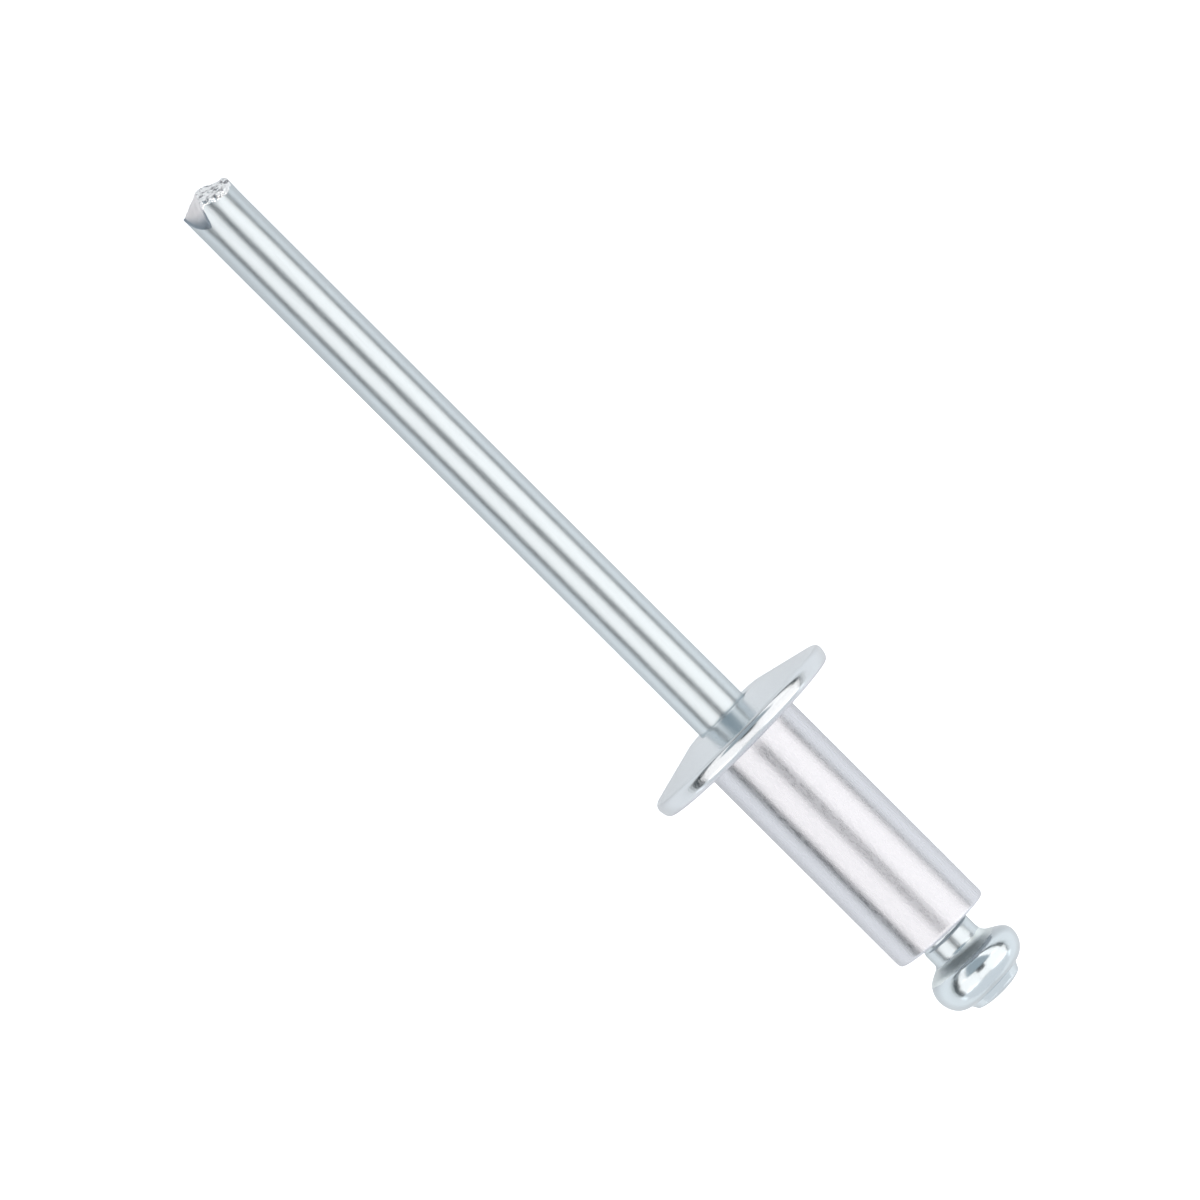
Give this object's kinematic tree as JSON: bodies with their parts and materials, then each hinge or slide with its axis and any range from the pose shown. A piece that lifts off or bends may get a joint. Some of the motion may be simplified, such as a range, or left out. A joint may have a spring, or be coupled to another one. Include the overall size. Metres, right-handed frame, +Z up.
{
  "type": "blind rivet",
  "caption": "Unset dome-head blind rivet: a short hollow shank with a shallow domed flange, on a long headed mandrel with a pinch-cut tip, lying on its rim and tip.",
  "frame": {"origin": "on the surface that the rivet lies on, under the middle of its length", "axes": "+Z up; +X along the rivet from the mandrel's tip to its head, level, with the rivet's own line rising 6.3 degrees towards the head in the XZ plane"},
  "size_m": [0.0491, 0.01, 0.0099],
  "materials": {
    "body_aluminium": "bright, lightly frosted cold-formed aluminium alloy",
    "mandrel_steel": "smooth drawn steel wire with bright blue-white zinc plating"
  },
  "bodies": {
    "root": {"rivet_body": "body_aluminium", "mandrel": "mandrel_steel"}
  },
  "joints": []
}
